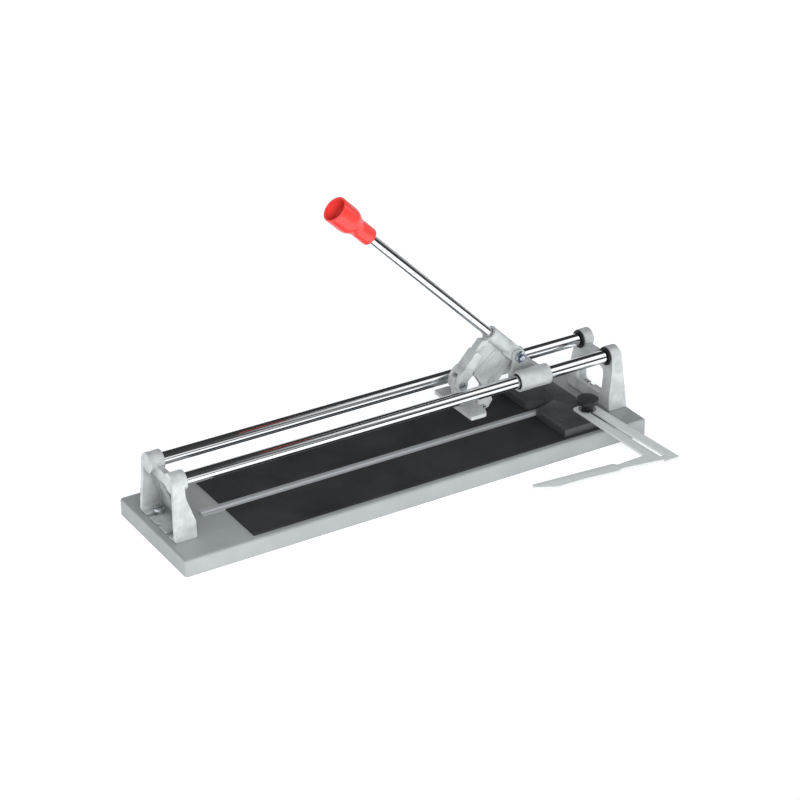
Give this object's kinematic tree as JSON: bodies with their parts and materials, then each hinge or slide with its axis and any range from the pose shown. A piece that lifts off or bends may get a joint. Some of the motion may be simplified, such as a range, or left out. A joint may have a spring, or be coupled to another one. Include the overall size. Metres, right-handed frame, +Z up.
{
  "type": "manual tile cutter",
  "caption": "Manual tile cutter: steel base with rubber pads, twin chrome rails, a sliding carriage with lever, scoring wheel and breaker foot, and a swivelling square.",
  "frame": {"origin": "middle of the base, on the surface that the tool stands on", "axes": "+X along the rails towards the measuring plate, +Z up, -Y towards the side of the square"},
  "size_m": [0.64, 0.2915, 0.3732],
  "materials": {
    "grey_paint": "satin powder coat",
    "cast_aluminium": "blasted casting",
    "rib_aluminium": "extruded",
    "chrome": "hard chrome, polished",
    "zinc_steel": "zinc plated",
    "foam_rubber": "matte",
    "ring_rubber": "moulded",
    "dark_plate": "fine texture paint",
    "arm_metal": "satin",
    "black_plastic": "matte",
    "bush_plastic": "moulded",
    "red_plastic": "gloss",
    "carbide": "ground"
  },
  "bodies": {
    "frame": {"base_tray": "grey_paint", "centre_stiffener": "grey_paint", "breaker_rib": "rib_aluminium", "front_pad": "foam_rubber", "rear_pad": "foam_rubber", "left_support": "cast_aluminium", "right_support": "cast_aluminium", "front_rail": "chrome", "rear_rail": "chrome", "front_buffer_ring": "ring_rubber", "rear_buffer_ring": "ring_rubber", "measuring_plate": "dark_plate", "plate_screw_front": "zinc_steel", "plate_screw_rear": "zinc_steel", "clamp_stud": "zinc_steel", "support_screw_left_front": "zinc_steel", "support_nut_left_front": "zinc_steel", "support_screw_left_rear": "zinc_steel", "support_nut_left_rear": "zinc_steel", "support_screw_right_front": "zinc_steel", "support_nut_right_front": "zinc_steel", "support_screw_right_rear": "zinc_steel", "support_nut_right_rear": "zinc_steel"},
    "carriage": {"carriage_casting": "cast_aluminium", "front_bush_left": "bush_plastic", "front_bush_right": "bush_plastic", "rear_bush_left": "bush_plastic", "rear_bush_right": "bush_plastic", "pivot_bolt": "zinc_steel", "pivot_nut": "zinc_steel"},
    "lever": {"lever_casting": "cast_aluminium", "lever_rod": "chrome", "lever_grip": "red_plastic", "wheel_axle": "zinc_steel", "wheel_axle_nut": "zinc_steel", "foot_pin": "zinc_steel", "foot_pin_nut": "zinc_steel"},
    "scoring_wheel": {"scoring_wheel": "carbide"},
    "breaker_foot": {"breaker_foot": "cast_aluminium"},
    "square_swivel": {"clamp_washer": "zinc_steel"},
    "square": {"square_arm": "arm_metal"},
    "clamp_knob": {"clamp_knob": "black_plastic"}
  },
  "joints": [
    {"name": "carriage_slide", "type": "slide", "parent": "frame", "child": "carriage", "axis": [-1, 0, 0], "range_m": [-0.078, 0.36]},
    {"name": "lever_pivot", "type": "hinge", "parent": "carriage", "child": "lever", "pos_m": [0.178, 0, 0.1155], "axis": [0, -1, 0], "range_deg": [-6, 30]},
    {"name": "wheel_spin", "type": "hinge", "parent": "lever", "child": "scoring_wheel", "pos_m": [0.129, 0, 0.057], "axis": [0, 1, 0], "continuous": true},
    {"name": "foot_pivot", "type": "hinge", "parent": "lever", "child": "breaker_foot", "pos_m": [0.097, 0, 0.0965], "axis": [0, 1, 0], "range_deg": [-4, 30]},
    {"name": "square_turn", "type": "hinge", "parent": "frame", "child": "square_swivel", "pos_m": [0.255, -0.05, 0.0343], "axis": [0, 0, 1], "range_deg": [-45, 45]},
    {"name": "square_slide", "type": "slide", "parent": "square_swivel", "child": "square", "axis": [-0.0541, 0.9985, 0], "range_m": [0, 0.138]},
    {"name": "knob_turn", "type": "hinge", "parent": "square_swivel", "child": "clamp_knob", "pos_m": [0.255, -0.05, 0.0389], "axis": [0, 0, 1], "range_deg": [0, 360]}
  ]
}
